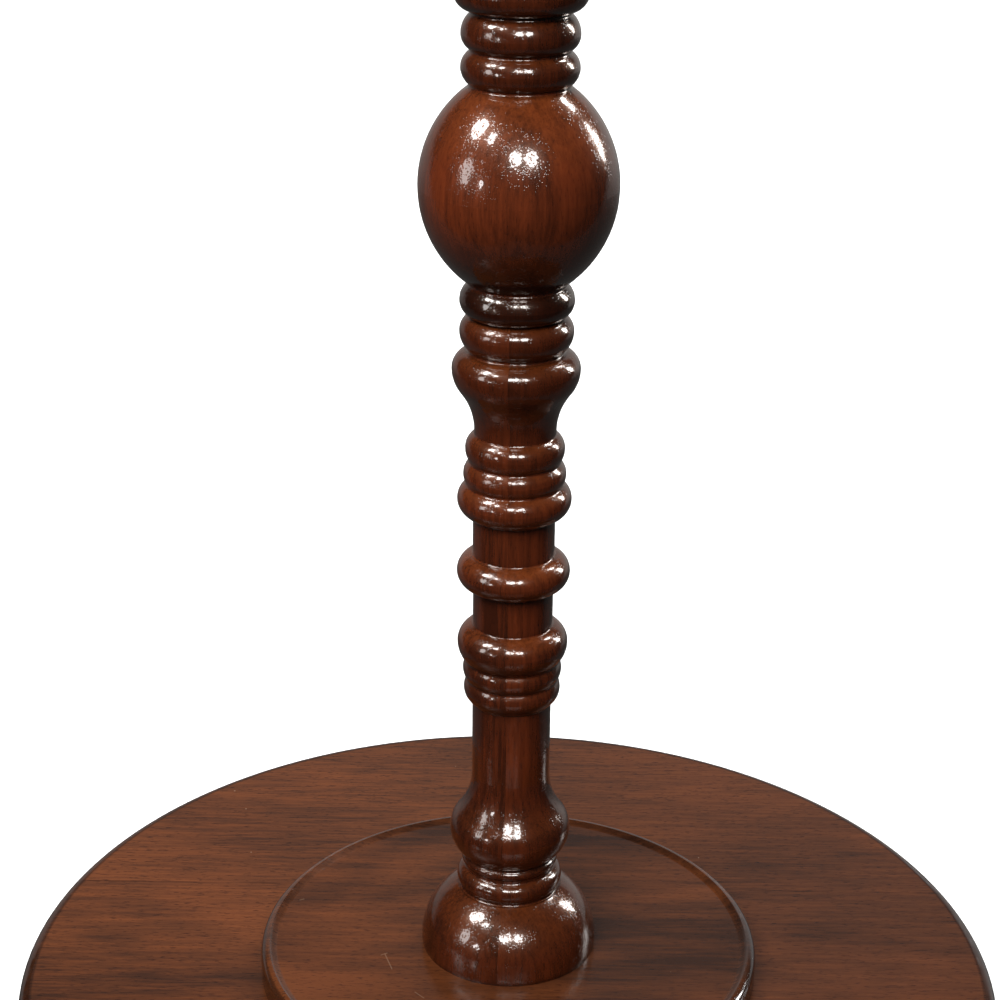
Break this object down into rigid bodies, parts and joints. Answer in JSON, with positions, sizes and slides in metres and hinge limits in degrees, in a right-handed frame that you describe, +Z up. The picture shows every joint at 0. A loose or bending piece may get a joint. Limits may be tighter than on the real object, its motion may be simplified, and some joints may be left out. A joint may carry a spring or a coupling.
{
  "type": "spindle pedestal table",
  "caption": "Round pedestal table in dark wood: a turned spindle with a ball at its middle, beads, rings and vases, on a plinth and a round base, under a round top.",
  "frame": {"origin": "on the floor, on the spindle's axis", "axes": "+Z up along the spindle; +X to the right and -Y to the front as the picture sees it, with the boards' grain along X"},
  "size_m": [0.5, 0.5, 0.76],
  "materials": {
    "base_wood": "satin",
    "top_wood": "satin",
    "spindle_wood": "gloss",
    "wedge_wood": "raw",
    "screw_steel": "zinc plated",
    "glide_nylon": "matte"
  },
  "bodies": {
    "root": {"base_board_1": "base_wood", "base_board_2": "base_wood", "base_board_3": "base_wood", "plinth": "base_wood", "lower_spindle_left_half": "spindle_wood", "lower_spindle_right_half": "spindle_wood", "upper_spindle": "spindle_wood", "lower_wedge": "wedge_wood", "upper_wedge": "wedge_wood", "top_cleat": "top_wood", "top_board_1": "top_wood", "top_board_2": "top_wood", "top_board_3": "top_wood", "top_board_4": "top_wood", "top_board_5": "top_wood", "plinth_screws": "screw_steel", "cleat_screws": "screw_steel", "floor_glides": "glide_nylon", "glide_nails": "screw_steel"}
  },
  "joints": []
}
